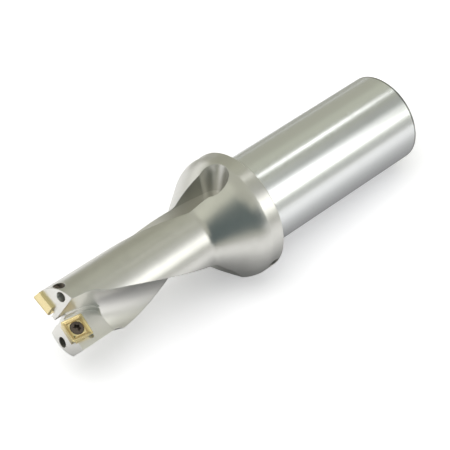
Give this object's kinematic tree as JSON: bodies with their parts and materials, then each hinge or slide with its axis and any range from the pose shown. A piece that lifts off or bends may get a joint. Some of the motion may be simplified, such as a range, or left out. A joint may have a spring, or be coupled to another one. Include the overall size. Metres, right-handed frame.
{
  "type": "indexable drill",
  "caption": "Indexable drill with a plain shank, a flange, two helical flutes and a central and a peripheral carbide insert.",
  "frame": {"origin": "centre of the shank's end face, on which the drill stands", "axes": "+Z along the drill's axis from the shank to the tip, +X through the cutting edge of the peripheral insert"},
  "size_m": [0.0336, 0.0334, 0.1171],
  "materials": {
    "body_steel": "satin nickel-grey",
    "coated_carbide": "pale gold coating",
    "screw_steel": "dark polished",
    "plug_steel": "black oxide"
  },
  "bodies": {
    "root": {"drill_body": "body_steel", "central_insert": "coated_carbide", "peripheral_insert": "coated_carbide", "central_insert_screw": "screw_steel", "peripheral_insert_screw": "screw_steel", "coolant_plug_front": "plug_steel", "coolant_plug_back": "plug_steel"}
  },
  "joints": []
}
